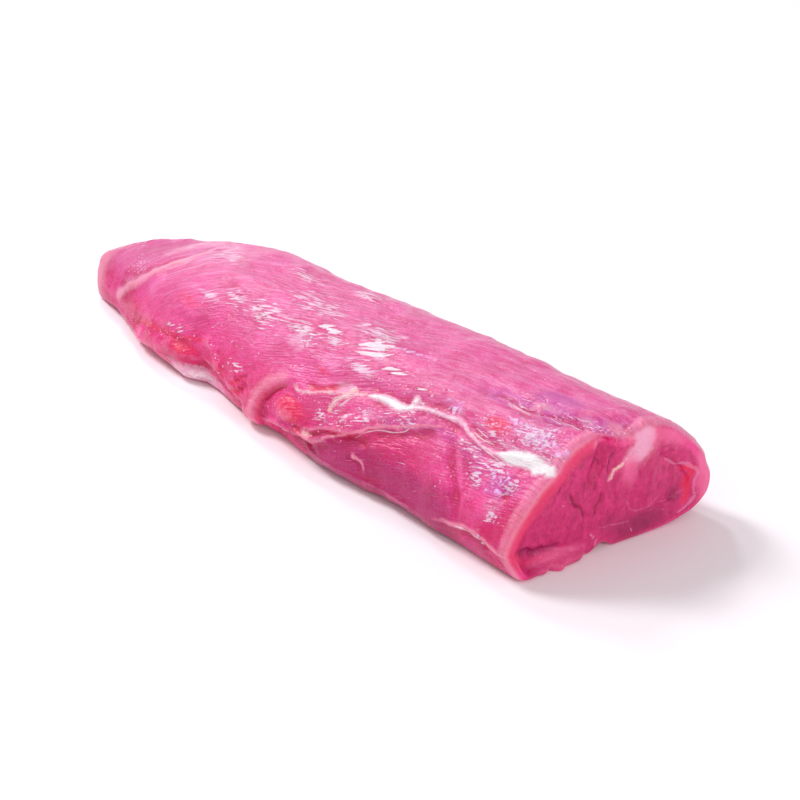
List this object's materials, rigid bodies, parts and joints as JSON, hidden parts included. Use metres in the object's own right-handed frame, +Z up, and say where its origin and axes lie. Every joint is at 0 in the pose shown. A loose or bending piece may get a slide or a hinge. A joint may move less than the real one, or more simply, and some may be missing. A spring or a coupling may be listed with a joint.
{
  "type": "raw pork tenderloin",
  "caption": "Raw pork tenderloin lying on its flat underside: thin tapering tail, folded front side with a strip of fat, and a thick end cut square.",
  "frame": {"origin": "under the middle of the whole piece, on the surface it lies on", "axes": "+X from the tail to the cut end, +Y across it to the smooth back side, +Z up"},
  "size_m": [0.2418, 0.0752, 0.0396],
  "materials": {
    "raw_meat": null
  },
  "bodies": {
    "root": {"tenderloin": "raw_meat"}
  },
  "joints": []
}
